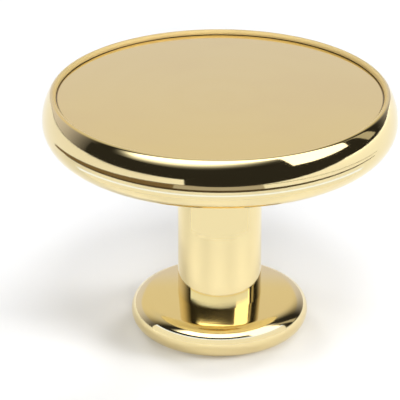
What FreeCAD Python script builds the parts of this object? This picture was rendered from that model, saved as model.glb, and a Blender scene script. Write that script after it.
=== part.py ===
import FreeCAD, Part
import math
import os

import Sketcher

# Cabinet knob turned from one bar of brass. It stands on its foot, +Z up, with the
# middle of the foot's bottom at the origin. All sizes are in millimetres.

os.makedirs("parts", exist_ok=True)
doc = FreeCAD.newDocument("cabinet_knob")

# Driving sizes
sizes = {
    # Foot: a round flange with a full round edge and a slightly crowned top.
    "foot_dia": 19.3,
    "foot_edge_radius": 1.8,
    "foot_crown_radius": 120.0,
    # Stem: a plain cylinder that rises into the head with a small hollow corner.
    "stem_dia": 9.1,
    "stem_top_radius": 1.0,
    # Head: a wide disc whose edge is one smooth round, tighter below its widest circle.
    # Its levels are measured down from the overall height, so it keeps its form.
    "overall_height": 27.45,
    "head_dia": 38.0,
    "head_flank_rise": 3.03,
    "head_lower_radius": 2.95,
    # Lip: the low rounded rim around the sunk flat face, set in from the widest circle.
    "lip_inset": 1.15,
    "lip_radius": 0.37,
    "face_depth": 0.5,
    # Hole: blind, tapped M4, drilled up the middle of the foot.
    "hole_dia": 3.3,
    "hole_depth": 14.0,
    "hole_mouth_dia": 4.4,
}
sheet = doc.addObject("Spreadsheet::Sheet", "Sizes")
for row, (alias, value) in enumerate(sizes.items(), start=1):
    sheet.set(f"A{row}", alias)
    sheet.set(f"B{row}", str(value))
    sheet.setAlias(f"B{row}", alias)
doc.recompute()


def size(alias):
    """One driving size, read back from the sheet."""
    return float(sheet.get(alias))


def base_plane(body, role):
    """The named base plane of the body's own origin."""
    for item in body.Origin.OriginFeatures:
        if item.Role == role:
            return item
    raise RuntimeError("no base plane " + role)


def point(r, z):
    """A point of the half section: r out from the axis, z up from the foot's bottom."""
    return FreeCAD.Vector(r, z, 0)


# Half section of the knob, drawn where the constraints will hold it
foot_r = size("foot_dia") / 2
foot_edge = size("foot_edge_radius")
crown = size("foot_crown_radius")
stem_r = size("stem_dia") / 2
stem_top = size("stem_top_radius")
head_r = size("head_dia") / 2
lip_top = size("overall_height")
widest = lip_top - size("head_flank_rise")
lower = size("head_lower_radius")
lip_r = head_r - size("lip_inset")
lip = size("lip_radius")
face = lip_top - size("face_depth")

foot_centre = point(foot_r - foot_edge, foot_edge)
crown_low = foot_edge - math.sqrt((crown - foot_edge) ** 2 - foot_centre.x ** 2)
crown_centre = point(0, crown_low)
crown_way = (foot_centre - crown_centre).normalize()
foot_joint = foot_centre + crown_way * foot_edge
stem_foot = point(stem_r, crown_low + math.sqrt(crown ** 2 - stem_r ** 2))
under = widest - lower
stem_corner = point(stem_r + stem_top, under - stem_top)
lower_centre = point(head_r - lower, widest)
head_edge = point(head_r, widest)
lip_centre = point(lip_r, lip_top - lip)
rise = lip_centre - head_edge
flank = (rise.Length ** 2 - lip ** 2) / (2 * (-rise.x - lip))
flank_centre = point(head_r - flank, widest)
flank_way = (lip_centre - flank_centre).normalize()
flank_joint = lip_centre + flank_way * lip
lip_inside = point(lip_r - lip, lip_top - lip)
face_edge = point(lip_r - lip, face)

body = doc.addObject("PartDesign::Body", "knob_body")
body.Label = "knob_body"
half = body.newObject("Sketcher::SketchObject", "half_section")
half.AttachmentSupport = [(base_plane(body, "XZ_Plane"), "")]
half.MapMode = "FlatFace"
doc.recompute()


def line(start, end):
    """Draws a straight edge of the half section and gives its number."""
    return half.addGeometry(Part.LineSegment(start, end), False)


def arc(centre, start, end):
    """Draws an edge that turns anticlockwise about centre, and gives its number."""
    first = math.atan2(start.y - centre.y, start.x - centre.x)
    last = math.atan2(end.y - centre.y, end.x - centre.x)
    circle = Part.Circle(centre, FreeCAD.Vector(0, 0, 1), (start - centre).Length)
    return half.addGeometry(Part.ArcOfCircle(circle, first, last), False)


e_base = line(point(0, 0), point(foot_centre.x, 0))
e_foot = arc(foot_centre, point(foot_centre.x, 0), foot_joint)
e_crown = arc(crown_centre, foot_joint, stem_foot)
e_stem = line(stem_foot, point(stem_r, stem_corner.y))
e_corner = arc(stem_corner, point(stem_corner.x, under), point(stem_r, stem_corner.y))
e_under = line(point(stem_corner.x, under), point(lower_centre.x, under))
e_lower = arc(lower_centre, point(lower_centre.x, under), head_edge)
e_flank = arc(flank_centre, head_edge, flank_joint)
e_lip = arc(lip_centre, flank_joint, lip_inside)
e_wall = line(lip_inside, face_edge)
e_face = line(face_edge, point(0, face))
e_axis = line(point(0, face), point(0, 0))

# Ends of an edge, as the sketch numbers them, and the sketch's own origin and axis
START, END, CENTRE = range(1, 4)
ORIGIN, UPRIGHT_AXIS = -START, -END


def hold(kind, *what):
    """Adds a constraint that has no size."""
    half.addConstraint(Sketcher.Constraint(kind, *what))


def measure(name, rule, kind, *what):
    """Adds a constraint whose size follows a rule written with the sheet's sizes."""
    number = half.addConstraint(Sketcher.Constraint(kind, *what))
    half.renameConstraint(number, name)
    half.setExpression("Constraints." + name, rule)


# Foot
hold("Coincident", e_base, START, ORIGIN, START)
hold("Horizontal", e_base)
hold("Tangent", e_base, END, e_foot, START)
hold("Tangent", e_foot, END, e_crown, START)
hold("PointOnObject", e_crown, CENTRE, UPRIGHT_AXIS)
measure("foot_round", "Sizes.foot_edge_radius", "Radius", e_foot, foot_edge)
measure("foot_dome", "Sizes.foot_crown_radius", "Radius", e_crown, crown)
measure("foot_reach", "Sizes.foot_dia / 2 - Sizes.foot_edge_radius",
        "DistanceX", ORIGIN, START, e_foot, CENTRE, foot_centre.x)

# Stem
hold("Coincident", e_crown, END, e_stem, START)
hold("Vertical", e_stem)
hold("Tangent", e_stem, END, e_corner, END)
hold("Tangent", e_corner, START, e_under, START)
measure("stem_reach", "Sizes.stem_dia / 2",
        "DistanceX", ORIGIN, START, e_stem, START, stem_r)
measure("stem_hollow", "Sizes.stem_top_radius", "Radius", e_corner, stem_top)

# Head below and around
hold("Horizontal", e_under)
hold("Tangent", e_under, END, e_lower, START)
hold("Tangent", e_lower, END, e_flank, START)
hold("Horizontal", e_lower, CENTRE, e_lower, END)
measure("head_round", "Sizes.head_lower_radius", "Radius", e_lower, lower)
measure("head_reach", "Sizes.head_dia / 2",
        "DistanceX", ORIGIN, START, e_lower, END, head_r)
measure("widest_level", "Sizes.overall_height - Sizes.head_flank_rise",
        "DistanceY", ORIGIN, START, e_lower, END, widest)

# Flank, lip and sunk face
hold("Tangent", e_flank, END, e_lip, START)
hold("Tangent", e_lip, END, e_wall, START)
hold("Vertical", e_wall)
hold("Coincident", e_wall, END, e_face, START)
hold("Horizontal", e_face)
hold("PointOnObject", e_face, END, UPRIGHT_AXIS)
hold("Coincident", e_face, END, e_axis, START)
hold("Coincident", e_axis, END, e_base, START)
measure("lip_round", "Sizes.lip_radius", "Radius", e_lip, lip)
measure("lip_reach", "Sizes.head_dia / 2 - Sizes.lip_inset",
        "DistanceX", ORIGIN, START, e_lip, CENTRE, lip_r)
measure("lip_level", "Sizes.overall_height - Sizes.lip_radius",
        "DistanceY", ORIGIN, START, e_lip, CENTRE, lip_top - lip)
measure("face_level", "Sizes.overall_height - Sizes.face_depth",
        "DistanceY", ORIGIN, START, e_wall, END, face)
doc.recompute()
if not half.FullyConstrained:
    raise RuntimeError("the half section is not fully held")

# The turned blank
turned = body.newObject("PartDesign::Revolution", "turned_blank")
turned.Profile = half
turned.ReferenceAxis = (half, ["V_Axis"])
turned.Angle = 360.0
doc.recompute()
blank_volume = body.Shape.Volume

# Blind hole for the screw, up the middle of the foot, with a small chamfer at its mouth
place = body.newObject("Sketcher::SketchObject", "hole_place")
place.AttachmentSupport = [(base_plane(body, "XY_Plane"), "")]
place.MapMode = "FlatFace"
mouth = Part.Circle(FreeCAD.Vector(0, 0, 0), FreeCAD.Vector(0, 0, 1), size("hole_dia") / 2)
e_mouth = place.addGeometry(mouth, False)
place.addConstraint(Sketcher.Constraint("Coincident", e_mouth, CENTRE, ORIGIN, START))
across = place.addConstraint(Sketcher.Constraint("Diameter", e_mouth, size("hole_dia")))
place.renameConstraint(across, "across")
place.setExpression("Constraints.across", "Sizes.hole_dia")
doc.recompute()

hole = body.newObject("PartDesign::Hole", "screw_hole")
hole.Profile = place
hole.Reversed = True
hole.Threaded = False
hole.ThreadType = "None"
hole.DepthType = "Dimension"
hole.DrillPoint = "Angled"
hole.DrillPointAngle = 118.0
hole.HoleCutType = "Countersink"
hole.HoleCutCountersinkAngle = 90.0
hole.setExpression("Diameter", "Sizes.hole_dia")
hole.setExpression("Depth", "Sizes.hole_depth")
hole.setExpression("HoleCutDiameter", "Sizes.hole_mouth_dia")
doc.recompute()

body.Placement = FreeCAD.Placement()
doc.recompute()

# Nothing is written unless every feature is sound and the hole has really been cut
for item in doc.Objects:
    if "Invalid" in item.State or "Error" in item.State:
        raise RuntimeError("feature not sound: " + item.Name)
if body.Shape.isNull() or not body.Shape.isValid() or len(body.Shape.Solids) != 1:
    raise RuntimeError("the knob is not one sound solid")
if blank_volume - body.Shape.Volume < 0.5 * math.pi * (size("hole_dia") / 2) ** 2 * size("hole_depth"):
    raise RuntimeError("the screw hole is not cut")
body.Shape.exportStep("parts/" + body.Label + ".step")
print("knob_body", body.Shape.BoundBox, "volume", body.Shape.Volume)
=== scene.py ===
import math

import bpy
import numpy as np
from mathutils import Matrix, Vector


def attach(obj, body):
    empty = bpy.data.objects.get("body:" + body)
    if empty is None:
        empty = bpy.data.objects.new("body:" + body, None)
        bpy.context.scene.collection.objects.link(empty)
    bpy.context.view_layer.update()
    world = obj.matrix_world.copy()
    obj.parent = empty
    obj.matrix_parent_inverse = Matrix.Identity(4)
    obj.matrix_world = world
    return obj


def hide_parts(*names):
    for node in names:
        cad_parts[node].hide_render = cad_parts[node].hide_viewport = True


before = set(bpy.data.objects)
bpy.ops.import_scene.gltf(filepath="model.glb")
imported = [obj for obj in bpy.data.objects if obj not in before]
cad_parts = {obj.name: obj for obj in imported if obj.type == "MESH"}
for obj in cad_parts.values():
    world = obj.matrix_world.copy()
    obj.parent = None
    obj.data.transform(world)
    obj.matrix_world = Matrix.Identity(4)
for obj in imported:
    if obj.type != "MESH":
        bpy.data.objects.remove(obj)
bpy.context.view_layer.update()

# The knob: one bar of brass, turned on a lathe, drilled up its foot for the screw and
# polished all over. Its half section runs from the end of the screw hole, round the foot,
# up the stem and round the head to the middle of the sunk face. Sizes are in millimetres.
MM = 0.001
FOOT_R = 9.65
FOOT_EDGE = 1.8
FOOT_CROWN = 120.0
STEM_R = 4.55
STEM_TOP = 1.0
HEIGHT = 27.45
HEAD_R = 19.0
FLANK_RISE = 3.03
LOWER_RADIUS = 2.95
LIP_INSET = 1.15
LIP_RADIUS = 0.37
FACE_LEVEL = HEIGHT - 0.5
FACE_R = HEAD_R - LIP_INSET - LIP_RADIUS
HOLE_R = 1.65
HOLE_MOUTH_R = 2.2
HOLE_DEPTH = 14.0
DRILL_HALF_ANGLE = 59.0
STEPS_AROUND = 384
SHARP_ANGLE = 35.0


def sweep(centre, radius, first, last, steps):
    """Points at centre + radius * (cos a, sin a), with a going evenly from first to last."""
    a = np.linspace(first, last, steps)
    return np.c_[centre[0] + radius * np.cos(a), centre[1] + radius * np.sin(a)]


def run(start, end, steps):
    """Points spread evenly on the straight line from start to end, both ends kept."""
    t = np.linspace(0.0, 1.0, steps)[:, None]
    return np.array(start) * (1.0 - t) + np.array(end) * t


def bearing(centre, target):
    """The angle of target seen from centre."""
    return math.atan2(target[1] - centre[1], target[0] - centre[0])


def knob_section():
    """The half section as one row of (r, z) points: the foot's edge and its crown are
    circles that touch, and so are the rounds under and over the widest circle and the lip
    that ends them. A point that two stretches share is kept once."""
    edge = (FOOT_R - FOOT_EDGE, FOOT_EDGE)
    crown = (0.0, FOOT_EDGE - math.sqrt((FOOT_CROWN - FOOT_EDGE) ** 2 - edge[0] ** 2))
    stem_foot = (STEM_R, crown[1] + math.sqrt(FOOT_CROWN ** 2 - STEM_R ** 2))
    widest = HEIGHT - FLANK_RISE
    under = widest - LOWER_RADIUS
    corner = (STEM_R + STEM_TOP, under - STEM_TOP)
    lower = (HEAD_R - LOWER_RADIUS, widest)
    lip = (HEAD_R - LIP_INSET, HEIGHT - LIP_RADIUS)
    rise = lip[1] - widest
    flank = (LIP_INSET ** 2 + rise ** 2 - LIP_RADIUS ** 2) / (2 * (LIP_INSET - LIP_RADIUS))
    middle = (HEAD_R - flank, widest)
    hole_end = HOLE_DEPTH + HOLE_R / math.tan(math.radians(DRILL_HALF_ANGLE))
    chamfer = HOLE_MOUTH_R - HOLE_R
    line = np.vstack([
        # Screw hole: the drill's cone, the wall and the chamfer at the mouth
        run((0.0, hole_end), (HOLE_R, HOLE_DEPTH), 4),
        run((HOLE_R, HOLE_DEPTH), (HOLE_R, chamfer), 8),
        run((HOLE_R, chamfer), (HOLE_MOUTH_R, 0.0), 3),
        # Foot: the flat bottom, the full round edge and the crowned top
        run((HOLE_MOUTH_R, 0.0), (edge[0], 0.0), 6),
        sweep(edge, FOOT_EDGE, -math.pi / 2, bearing(crown, edge), 48),
        sweep(crown, FOOT_CROWN, bearing(crown, edge), bearing(crown, stem_foot), 12),
        # Stem and the hollow corner under the head
        run(stem_foot, (STEM_R, corner[1]), 24),
        sweep(corner, STEM_TOP, math.pi, math.pi / 2, 12),
        # Head: the flat underside, the rounds under and over the widest circle, the lip
        run((corner[0], under), (lower[0], under), 10),
        sweep(lower, LOWER_RADIUS, -math.pi / 2, 0.0, 30),
        sweep(middle, flank, 0.0, bearing(middle, lip), 30),
        sweep(lip, LIP_RADIUS, bearing(middle, lip), math.pi, 26),
        # The wall inside the lip and the sunk face
        run((FACE_R, lip[1]), (FACE_R, FACE_LEVEL), 3),
        run((FACE_R, FACE_LEVEL), (0.0, FACE_LEVEL), 14),
    ])
    same_place = 1e-6
    apart = np.linalg.norm(np.diff(line, axis=0), axis=1) > same_place
    return line[np.r_[True, apart]]


def turned(name, line, around):
    """A closed turned form: each (r, z) point of line in millimetres is carried round Z in
    equal steps, x = r cos t and y = r sin t, with single points where the line meets Z."""
    t = np.arange(around) * (2.0 * math.pi / around)
    ring = line[1:-1]
    x = ring[:, :1] * np.cos(t)
    y = ring[:, :1] * np.sin(t)
    z = np.repeat(ring[:, 1:], around, axis=1)
    points = np.stack([x, y, z], axis=-1).reshape(-1, 3)
    ends = np.array([[0.0, 0.0, line[0, 1]], [0.0, 0.0, line[-1, 1]]])
    points = np.vstack([points, ends]) * MM
    rows = len(ring)
    i = np.arange(rows - 1)[:, None] * around
    j = np.arange(around)
    k = (j + 1) % around
    quads = np.stack([i + j, i + k, i + around + k, i + around + j], axis=-1).reshape(-1, 4)
    first_end, last_end = rows * around, rows * around + 1
    last_row = (rows - 1) * around
    first_fan = np.stack([np.full(around, first_end), k, j], axis=-1)
    last_fan = np.stack([np.full(around, last_end), last_row + j, last_row + k], axis=-1)
    faces = quads.tolist() + first_fan.tolist() + last_fan.tolist()
    mesh = bpy.data.meshes.new(name)
    mesh.from_pydata(points.tolist(), [], faces)
    mesh.polygons.foreach_set("use_smooth", np.ones(len(mesh.polygons), dtype=bool))
    mesh.update()
    mesh.set_sharp_from_angle(angle=math.radians(SHARP_ANGLE))
    piece = bpy.data.objects.new(name, mesh)
    bpy.context.scene.collection.objects.link(piece)
    return piece


knob = turned("knob_brass", knob_section(), STEPS_AROUND)
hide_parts("knob_body")
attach(knob, "root")

# The knob's finish: polished brass with the faint rings that the buffing wheel leaves
# round the axis, a few soft smudges, a thin dark line of painted shade in the corner round
# the sunk face, and a dull wall inside the lip, where the wheel does not reach.
GOLD = (0.864, 0.730, 0.407)
DEEPER_GOLD = (0.851, 0.712, 0.384)
SMUDGED_GOLD = (0.842, 0.702, 0.394)
# Colour of the painted shade: a thin dark line in the corner round the sunk face
CORNER_SHADE = (0.20, 0.14, 0.07)
POLISH_ROUGHNESS = 0.045
RING_ROUGHNESS = 0.02
SMUDGE_ROUGHNESS = 0.035
GRAIN_ROUGHNESS = 0.01
WALL_ROUGHNESS = 0.75
CORNER_SHADE_ROUGHNESS = 0.1
RELIEF_STRENGTH = 0.06
RELIEF_DEPTH = 0.02
WIDE_RING_HEIGHT = 1.5

# How fine each pattern is, in its repeats to a metre
RING_SCALE = 5200.0
WIDE_RING_SCALE = 520.0
SMUDGE_SCALE = 95.0
GRAIN_SCALE = 9000.0
SMUDGE_LEVELS = (0.42, 0.68)

# Where the marks beside the lip start and end, in millimetres from the face and its edge
CORNER_SHADE_FADES = (0.10, 0.24)
UNDER_FACE = (-0.4, -0.3)
OVER_FACE = (0.02, 0.07)
WALL_FADES = (0.22, 0.36)


class Wiring:
    """Adds nodes to one node tree and joins them up. A value is a number, a colour or the
    output of another node."""

    def __init__(self, tree):
        self.tree = tree

    def node(self, kind, **settings):
        """A new node with its own settings."""
        made = self.tree.nodes.new(kind)
        for key, value in settings.items():
            setattr(made, key, value)
        return made

    def fill(self, socket, value):
        """Sets an input to a number or a colour, or links it to an output."""
        if isinstance(value, (int, float)):
            socket.default_value = value
        elif isinstance(value, tuple):
            socket.default_value = (*value, 1.0)
        else:
            self.tree.links.new(value, socket)

    def work_out(self, operation, first, second=0.0):
        """One step of arithmetic."""
        made = self.node("ShaderNodeMath", operation=operation)
        self.fill(made.inputs[0], first)
        self.fill(made.inputs[1], second)
        return made.outputs[0]

    def plus(self, first, second):
        """The sum of two values."""
        return self.work_out("ADD", first, second)

    def minus(self, first, second):
        """The first value less the second."""
        return self.work_out("SUBTRACT", first, second)

    def times(self, first, second):
        """The product of two values."""
        return self.work_out("MULTIPLY", first, second)

    def distance(self, x, y):
        """The distance from the upright axis: sqrt(x^2 + y^2)."""
        return self.work_out("SQRT", self.plus(self.times(x, x), self.times(y, y)))

    def split(self, place):
        """The x, y and z of a place or a direction."""
        made = self.node("ShaderNodeSeparateXYZ")
        self.fill(made.inputs[0], place)
        return made.outputs

    def step(self, value, start, end, low=0.0, high=1.0):
        """Goes smoothly from low to high while value goes from start to end."""
        made = self.node("ShaderNodeMapRange", interpolation_type="SMOOTHSTEP")
        inputs = {"Value": value, "From Min": start, "From Max": end, "To Min": low, "To Max": high}
        for name, item in inputs.items():
            self.fill(made.inputs[name], item)
        return made.outputs["Result"]

    def blend(self, factor, first, second):
        """Goes from the first colour to the second with factor."""
        made = self.node("ShaderNodeMix", data_type="RGBA")
        for name, item in {"Factor": factor, "A": first, "B": second}.items():
            self.fill(made.inputs[name], item)
        return made.outputs["Result"]

    def noise(self, place, scale, detail):
        """Soft noise from 0 to 1 over a place."""
        made = self.node("ShaderNodeTexNoise")
        for name, item in {"Vector": place, "Scale": scale, "Detail": detail}.items():
            self.fill(made.inputs[name], item)
        return made.outputs["Fac"]


def brass_finish():
    """A node group that gives the brass's colour, roughness and height from its place:
    rings follow noise over (distance from the axis, height), so they run round the axis."""
    group = bpy.data.node_groups.new("brass_finish", "ShaderNodeTree")
    kinds = {"Color": "NodeSocketColor", "Roughness": "NodeSocketFloat", "Height": "NodeSocketFloat"}
    for name, kind in kinds.items():
        group.interface.new_socket(name, in_out="OUTPUT", socket_type=kind)
    wires = Wiring(group)

    def past(value, base, fade, low=0.0, high=1.0):
        """Goes from low to high while value passes base by the two millimetre sizes of fade."""
        return wires.step(value, (base + fade[0]) * MM, (base + fade[1]) * MM, low, high)

    place = wires.node("ShaderNodeTexCoord").outputs["Object"]
    x, y, z = wires.split(place)
    across = wires.distance(x, y)
    round_axis = wires.node("ShaderNodeCombineXYZ")
    wires.fill(round_axis.inputs["X"], across)
    wires.fill(round_axis.inputs["Y"], z)
    rings = wires.noise(round_axis.outputs[0], RING_SCALE, 2.0)
    wide_rings = wires.noise(round_axis.outputs[0], WIDE_RING_SCALE, 1.0)
    smudge = wires.step(wires.noise(place, SMUDGE_SCALE, 3.0), *SMUDGE_LEVELS)
    grain = wires.noise(place, GRAIN_SCALE, 1.0)

    off_corner = wires.work_out("ABSOLUTE", wires.minus(across, FACE_R * MM))
    level = wires.times(past(z, FACE_LEVEL, UNDER_FACE), past(z, FACE_LEVEL, OVER_FACE, 1.0, 0.0))
    # Painted shade: a thin dark line in the corner where the sunk face meets the wall inside the
    # lip. It darkens the colour there and adds some roughness.
    corner_shade = wires.times(past(off_corner, 0.0, CORNER_SHADE_FADES, 1.0, 0.0), level)
    wall = wires.times(past(across, FACE_R, WALL_FADES, 1.0, 0.0), past(z, FACE_LEVEL, OVER_FACE))

    colour = wires.blend(wide_rings, GOLD, DEEPER_GOLD)
    colour = wires.blend(smudge, colour, SMUDGED_GOLD)
    colour = wires.blend(corner_shade, colour, CORNER_SHADE)
    rough = POLISH_ROUGHNESS
    marks = ((rings, RING_ROUGHNESS), (smudge, SMUDGE_ROUGHNESS), (grain, GRAIN_ROUGHNESS),
             (wall, WALL_ROUGHNESS), (corner_shade, CORNER_SHADE_ROUGHNESS))
    for mark, roughness in marks:
        rough = wires.plus(rough, wires.times(mark, roughness))
    out = wires.node("NodeGroupOutput")
    wires.fill(out.inputs["Color"], colour)
    wires.fill(out.inputs["Roughness"], rough)
    wires.fill(out.inputs["Height"], wires.plus(rings, wires.times(wide_rings, WIDE_RING_HEIGHT)))
    return group


brass = bpy.data.materials.new("polished_brass")
brass.use_nodes = True
shader = brass.node_tree.nodes["Principled BSDF"]
shader.inputs["Metallic"].default_value = 1.0
brass_wires = Wiring(brass.node_tree)
finish = brass_wires.node("ShaderNodeGroup", node_tree=brass_finish())
relief = brass_wires.node("ShaderNodeBump")
brass_wires.fill(relief.inputs["Strength"], RELIEF_STRENGTH)
brass_wires.fill(relief.inputs["Distance"], RELIEF_DEPTH * MM)
brass_wires.fill(relief.inputs["Height"], finish.outputs["Height"])
brass_wires.fill(shader.inputs["Base Color"], finish.outputs["Color"])
brass_wires.fill(shader.inputs["Roughness"], finish.outputs["Roughness"])
brass_wires.fill(shader.inputs["Normal"], relief.outputs["Normal"])
knob.data.materials.append(brass)


# Floor: one plain sheet of matt white paper that the knob stands on. It takes the soft
# shadows, and it is all of the studio that the picture shows.
FLOOR_REACH = 3.0


def staged(name, points, faces, material):
    """One studio surface from its points in metres."""
    mesh = bpy.data.meshes.new(name)
    mesh.from_pydata(np.asarray(points, dtype=float).tolist(), [], np.asarray(faces).tolist())
    mesh.update()
    mesh.materials.append(material)
    surface = bpy.data.objects.new(name, mesh)
    bpy.context.scene.collection.objects.link(surface)
    return surface


paper = bpy.data.materials.new("white_paper")
paper.use_nodes = True
sheet = paper.node_tree.nodes["Principled BSDF"]
sheet.inputs["Base Color"].default_value = (0.9, 0.9, 0.9, 1.0)
sheet.inputs["Roughness"].default_value = 0.9
sheet.inputs["Specular IOR Level"].default_value = 0.2
floor_corners = [(-1, -1, 0), (1, -1, 0), (1, 1, 0), (-1, 1, 0)]
staged("floor", np.array(floor_corners) * FLOOR_REACH, [(0, 1, 2, 3)], paper)

# Window: a tall bright card to the right, with a narrow dim sliver beyond it. The edges of
# these cards are drawn in degrees as seen from the knob's head.
WINDOW_REACH = 1.9
WINDOW_BOTTOM = [(47.5, 16.8), (60, 15.8), (75, 15.3), (90, 15)]
WINDOW_TOP = [(38, 62), (55, 64), (72, 64), (92, 62)]
SLIVER_BOTTOM = [(107, 3), (116, 3)]
SLIVER_TOP = [(88, 46), (95, 46)]
CARD_CENTRE = 24.7


def glow(name, colour, strength):
    """A material that gives off even light."""
    material = bpy.data.materials.new(name)
    material.use_nodes = True
    material.node_tree.nodes.clear()
    wires = Wiring(material.node_tree)
    lamp = wires.node("ShaderNodeEmission")
    wires.fill(lamp.inputs["Color"], colour)
    wires.fill(lamp.inputs["Strength"], strength)
    out = wires.node("ShaderNodeOutputMaterial")
    wires.fill(out.inputs["Surface"], lamp.outputs["Emission"])
    return material


def reflector(name, points, faces, colour, strength):
    """A glowing card that shows only in the polish: the camera and the floor do not see it,
    and it throws no shadow."""
    surface = staged(name, points, faces, glow(name, colour, strength))
    surface.visible_camera = False
    surface.visible_diffuse = False
    surface.visible_shadow = False


def grid_faces(rows, columns):
    """Quads of a grid whose points run row by row."""
    i = np.arange(rows * columns).reshape(rows, columns)
    return np.stack([i[:-1, :-1], i[:-1, 1:], i[1:, 1:], i[1:, :-1]], -1).reshape(-1, 4)


def card(name, low, high, reach, colour, strength, rows=8):
    """A card between two edges at the distance reach in metres. Each edge is a row of
    (bearing, height) in degrees seen from the knob's head, bearing 0 in front and positive
    to the right: x = cos h sin b, y = -cos h cos b, z = sin h."""
    t = np.linspace(0.0, 1.0, rows)[:, None, None]
    angles = np.radians(np.array(low, dtype=float) * (1.0 - t) + np.array(high, dtype=float) * t)
    b, h = angles[..., 0], angles[..., 1]
    points = np.stack([np.sin(b) * np.cos(h), -np.cos(b) * np.cos(h), np.sin(h)], -1) * reach
    points = points.reshape(-1, 3) + [0.0, 0.0, CARD_CENTRE * MM]
    reflector(name, points, grid_faces(rows, len(low)), colour, strength)


card("card_window", WINDOW_BOTTOM, WINDOW_TOP, WINDOW_REACH, (1.0, 0.98, 0.95), 2.3)
card("card_sliver", SLIVER_BOTTOM, SLIVER_TOP, WINDOW_REACH, (0.50, 0.47, 0.40), 1.0)

# Near card: a dark upright card that stands close in front of the knob and runs on far to
# the right. It draws the dark band round the head's front.
NEAR_AHEAD = 122.0
NEAR_LEFT = -45.0
NEAR_RIGHT = 1000.0
NEAR_TOP = 65.0
DARK = (0.9, 0.85, 0.75)
DARK_GLOW = 0.03
near_corners = [(NEAR_LEFT, -NEAR_AHEAD, 0.0), (NEAR_RIGHT, -NEAR_AHEAD, 0.0),
                (NEAR_RIGHT, -NEAR_AHEAD, NEAR_TOP), (NEAR_LEFT, -NEAR_AHEAD, NEAR_TOP)]
reflector("card_near", np.array(near_corners) * MM, [(0, 1, 2, 3)], DARK, DARK_GLOW)

# Shades: four flat crescents that lie on the floor round the front and show in the head's
# lower edge. The inner and the outer one are dark, and the wide stretch between them is
# brown on the left and grey in front.
DARK_SHADE_LEVEL = 0.3
WIDE_SHADE_LEVEL = 0.2
WIDE_SHADE = ((0.0, 72.0), (33.0, 97.0))


def row_of_points(a, reach, level):
    """Points in metres at one level in millimetres, at the distance reach along each
    bearing a: x = reach sin a, y = -reach cos a."""
    return np.stack([reach * np.sin(a), -reach * np.cos(a), np.full(len(a), level)], -1) * MM


def crescent(name, inner, outer, first, last, level, colour, steps=72):
    """A flat crescent between two circles. Each circle is (how far its centre lies in front
    of the knob, its radius) in millimetres, and the crescent runs between two bearings seen
    from the knob. Along bearing a, the circle c in front with radius r is reached at
    c cos a + sqrt(r^2 - c^2 sin^2 a)."""
    a = np.radians(np.linspace(first, last, steps))
    rows = []
    for ahead, radius in (inner, outer):
        reach = ahead * np.cos(a) + np.sqrt(radius ** 2 - (ahead * np.sin(a)) ** 2)
        rows.append(row_of_points(a, reach, level))
    reflector(name, np.vstack(rows), grid_faces(2, steps), colour, 1.0)


crescent("shade_inner", (-7.0, 68.0), (6.0, 73.0), -104, 104, DARK_SHADE_LEVEL, (0.08, 0.06, 0.04))
crescent("shade_outer", (31.5, 95.5), (33.5, 98.5), -117, 107, DARK_SHADE_LEVEL, (0.16, 0.12, 0.08))
crescent("shade_left", *WIDE_SHADE, -117, -26, WIDE_SHADE_LEVEL, (0.20, 0.14, 0.08))
crescent("shade_front", *WIDE_SHADE, -26, 25, WIDE_SHADE_LEVEL, (0.48, 0.45, 0.42))

# Bent cards: a low white card bent round the foot, a brighter bluish rail along its top,
# and a dark strip that hangs higher and farther out.
LOW_REACH = 30.0
RAIL_BOTTOM = 11.3
RAIL_TOP = 13.9
STRIP_REACH = 60.0
STRIP_BOTTOM = 27.0
STRIP_TOP = 44.0


def bent_card(name, reach, low, high, first, last, colour, strength, steps=33):
    """An upright card bent round the knob at the distance reach, between two heights in
    millimetres and two bearings in degrees."""
    a = np.radians(np.linspace(first, last, steps))
    points = np.vstack([row_of_points(a, reach, low), row_of_points(a, reach, high)])
    reflector(name, points, grid_faces(2, steps), colour, strength)


bent_card("card_low", LOW_REACH, 0.0, RAIL_BOTTOM, -80, 80, (1.0, 1.0, 1.0), 1.03)
bent_card("card_rail", LOW_REACH, RAIL_BOTTOM, RAIL_TOP, -80, 80, (0.58, 0.68, 1.0), 1.9)
bent_card("card_strip", STRIP_REACH, STRIP_BOTTOM, STRIP_TOP, -80, 34, DARK, DARK_GLOW)

# Room: a pale wall behind the knob that fades to dark in front, and a bright softbox high
# in front. It shows in the polish and does not light the floor. Places in it are parts of
# a direction one unit long, so a height of 0.5 is 30 degrees up.
WALL_TURN = 0.3
WALL_FADE = (0.22, 1.0)
WALL_LOW = (0.78, 0.75, 0.805)
WALL_HIGH = (0.82, 0.73, 0.54)
WALL_CHANGE = (0.35, 0.44)
CEILING = (0.676, 0.64, 0.55)
CEILING_START = (0.55, 0.85)
ROOM_DARK = (0.025, 0.023, 0.02)
BOX_LEAN = 0.15
BOX_BOTTOM = 0.36
BOX_FULL = 0.62
BOX_GROWTH = 4.0
BOX_BACK = (-0.2, 0.1)
BOX_LEFT = (-0.98, -0.84)
BOX_LIGHT = (2.6, 2.6, 2.6)

world = bpy.data.worlds.new("room")
bpy.context.scene.world = world
world.use_nodes = True
world.cycles_visibility.diffuse = False
world.node_tree.nodes.clear()
room_wires = Wiring(world.node_tree)
direction = room_wires.node("ShaderNodeTexCoord").outputs["Generated"]
x, y, z = room_wires.split(direction)
flat = room_wires.distance(x, y)

# The wall's middle is turned a little to the left, and its colour changes with height
behind = room_wires.minus(y, room_wires.times(x, WALL_TURN))
behind = room_wires.work_out("DIVIDE", behind, flat)
wall = room_wires.blend(room_wires.step(z, *WALL_CHANGE), WALL_LOW, WALL_HIGH)
wall = room_wires.blend(room_wires.step(z, *CEILING_START), wall, CEILING)
room = room_wires.blend(room_wires.step(behind, *WALL_FADE), ROOM_DARK, wall)

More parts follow.
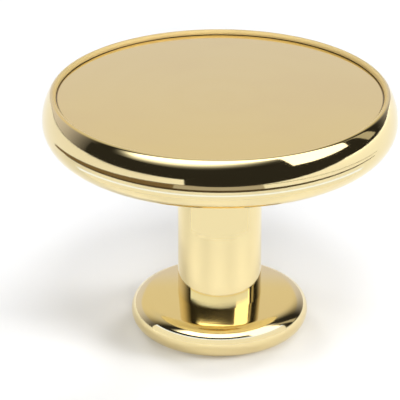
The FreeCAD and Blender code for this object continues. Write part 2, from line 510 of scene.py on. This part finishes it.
# The softbox grows brighter upwards, leans to the right and ends at the left and behind
rise = room_wires.minus(z, room_wires.times(x, BOX_LEAN))
up = room_wires.times(room_wires.minus(rise, BOX_BOTTOM), 1.0 / (BOX_FULL - BOX_BOTTOM))
up = room_wires.work_out("MINIMUM", room_wires.work_out("MAXIMUM", up, 0.0), 1.0)
box = room_wires.work_out("POWER", up, BOX_GROWTH)
box = room_wires.times(box, room_wires.step(room_wires.times(y, -1.0), *BOX_BACK))
box = room_wires.times(box, room_wires.step(room_wires.work_out("DIVIDE", x, flat), *BOX_LEFT))
room = room_wires.blend(box, room, BOX_LIGHT)
background = room_wires.node("ShaderNodeBackground")
room_out = room_wires.node("ShaderNodeOutputWorld")
room_wires.fill(background.inputs["Color"], room)
room_wires.fill(room_out.inputs["Surface"], background.outputs["Background"])

# Lamps: six soft square lamps, one high in front and five low round the knob. They light
# only the floor and leave the soft shadows on it, and the polish does not show them.
LAMP_COLOUR = (0.97, 0.98, 1.0)


def soft_light(name, place, size, power):
    """A square lamp at a place in metres, facing the knob's foot."""
    data = bpy.data.lights.new(name, "AREA")
    data.size = size
    data.energy = power
    data.color = LAMP_COLOUR
    light = bpy.data.objects.new(name, data)
    bpy.context.scene.collection.objects.link(light)
    light.location = place
    light.rotation_euler = (-Vector(place)).to_track_quat("-Z", "Y").to_euler()
    light.visible_glossy = False
    light.visible_camera = False


soft_light("light_high", (0.10, -0.45, 1.15), 0.4, 5.5)
soft_light("light_right", (1.1, -0.1, 0.45), 0.5, 9.0)
soft_light("light_left", (-1.1, 0.1, 0.35), 0.5, 4.0)
soft_light("light_back_left", (-0.5, 1.0, 0.45), 0.5, 6.5)
soft_light("light_back_right", (0.6, 0.9, 0.45), 0.5, 7.0)
soft_light("light_front", (0.0, -1.1, 0.45), 0.5, 7.6)

# The camera: a long lens a third of a metre from the head, looking down at it. The picture
# is shown plainly, so that white paper stays white.
TILT_DOWN = 23.25
DISTANCE = 320.4
HEAD_CENTRE = 24.67
FOCAL_PIXELS = 3000.0
PICTURE_PIXELS = 400.0
HEAD_PIXEL = (219.7, 115.3)
SENSOR = 36.0
lens = bpy.data.cameras.new("camera")
lens.sensor_width = SENSOR
lens.lens = SENSOR * FOCAL_PIXELS / PICTURE_PIXELS
lens.clip_start = 0.01
lens.clip_end = 20.0
camera = bpy.data.objects.new("camera", lens)
bpy.context.scene.collection.objects.link(camera)
down = math.radians(TILT_DOWN)
ahead = Vector((0.0, math.cos(down), -math.sin(down)))
above = Vector((0.0, math.sin(down), math.cos(down)))
aside = Vector((1.0, 0.0, 0.0))
camera.location = Vector((0.0, 0.0, HEAD_CENTRE * MM)) - ahead * DISTANCE * MM
look = ahead * FOCAL_PIXELS
look += aside * (PICTURE_PIXELS / 2 - HEAD_PIXEL[0])
look += above * (HEAD_PIXEL[1] - PICTURE_PIXELS / 2)
camera.rotation_euler = look.to_track_quat("-Z", "Y").to_euler()
bpy.context.scene.camera = camera
bpy.context.scene.view_settings.view_transform = "Standard"
